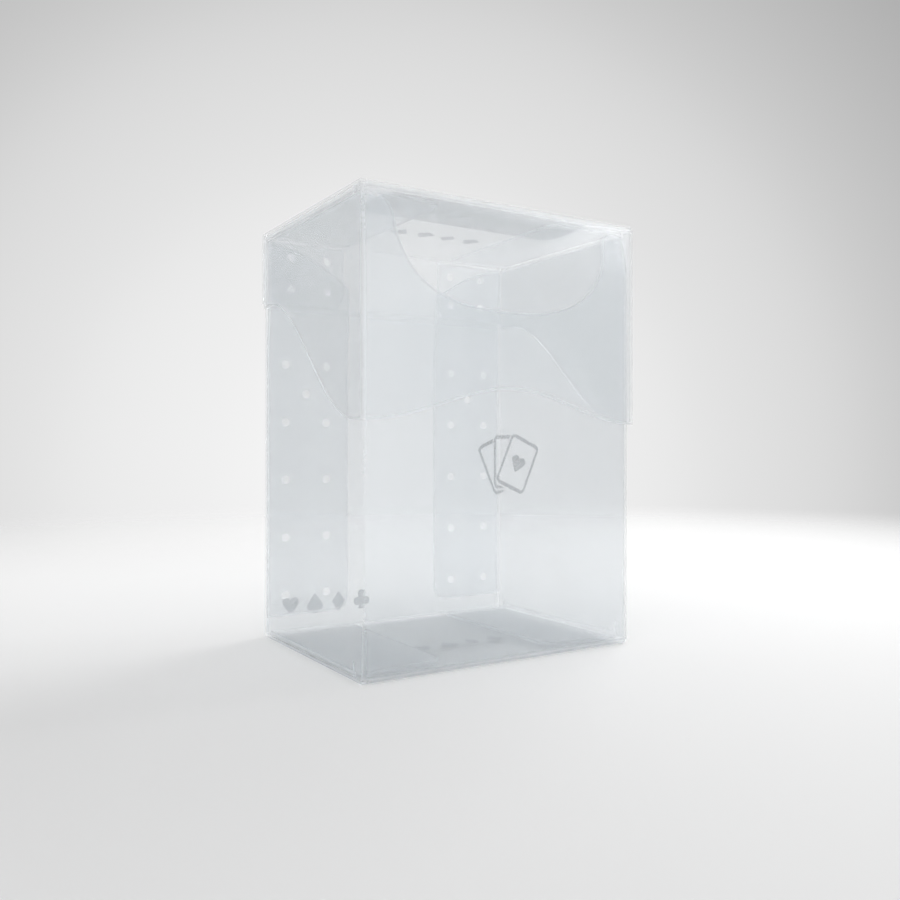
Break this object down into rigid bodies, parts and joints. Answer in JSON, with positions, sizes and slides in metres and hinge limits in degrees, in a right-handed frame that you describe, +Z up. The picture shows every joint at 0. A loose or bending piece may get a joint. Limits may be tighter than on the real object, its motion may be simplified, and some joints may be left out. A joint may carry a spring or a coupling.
{
  "type": "card deck box",
  "caption": "Flip-top deck box for playing or trading cards, folded from one frosted plastic sheet, with a thumb notch, spot-fused flaps and a living-hinge lid.",
  "frame": {"origin": "middle of the footprint, on the surface that the box stands on", "axes": "+Z up, +X along the box's width to the right seen from the front, +Y from the front panel to the hinged back"},
  "size_m": [0.072, 0.0552, 0.099],
  "materials": {
    "box_pp": "frosted translucent polypropylene sheet, fine sand grain",
    "lid_pp": "frosted translucent polypropylene sheet, fine sand grain",
    "hinge_pp": "thinned and whitened polypropylene crease",
    "fused_spot": "clear fused polypropylene spots",
    "label_film": "grey translucent matt writing film",
    "print_ink": "flat grey screen print"
  },
  "bodies": {
    "box": {"box_front_panel": "box_pp", "box_left_side_panel": "box_pp", "box_right_side_panel": "box_pp", "box_left_back_flap": "box_pp", "box_right_back_flap": "box_pp", "box_back_panel": "box_pp", "box_base_panel": "box_pp", "box_left_base_flap": "box_pp", "box_right_base_flap": "box_pp", "box_left_fused_spots": "fused_spot", "box_right_fused_spots": "fused_spot", "living_hinge": "hinge_pp", "front_print": "print_ink", "back_print": "print_ink", "base_print": "print_ink"},
    "lid": {"lid_back_panel": "lid_pp", "lid_top_panel": "lid_pp", "lid_front_panel": "lid_pp", "lid_left_side_panel": "lid_pp", "lid_right_side_panel": "lid_pp", "lid_left_back_flap": "lid_pp", "lid_right_back_flap": "lid_pp", "lid_left_dust_flap": "lid_pp", "lid_right_dust_flap": "lid_pp", "lid_left_fused_spots": "fused_spot", "lid_right_fused_spots": "fused_spot", "lid_label_strip": "label_film", "lid_print": "print_ink"}
  },
  "joints": [
    {"name": "lid_hinge", "type": "hinge", "parent": "box", "child": "lid", "pos_m": [0, 0.0276, 0.0815], "axis": [-1, 0, 0], "range_deg": [0, 175]}
  ]
}
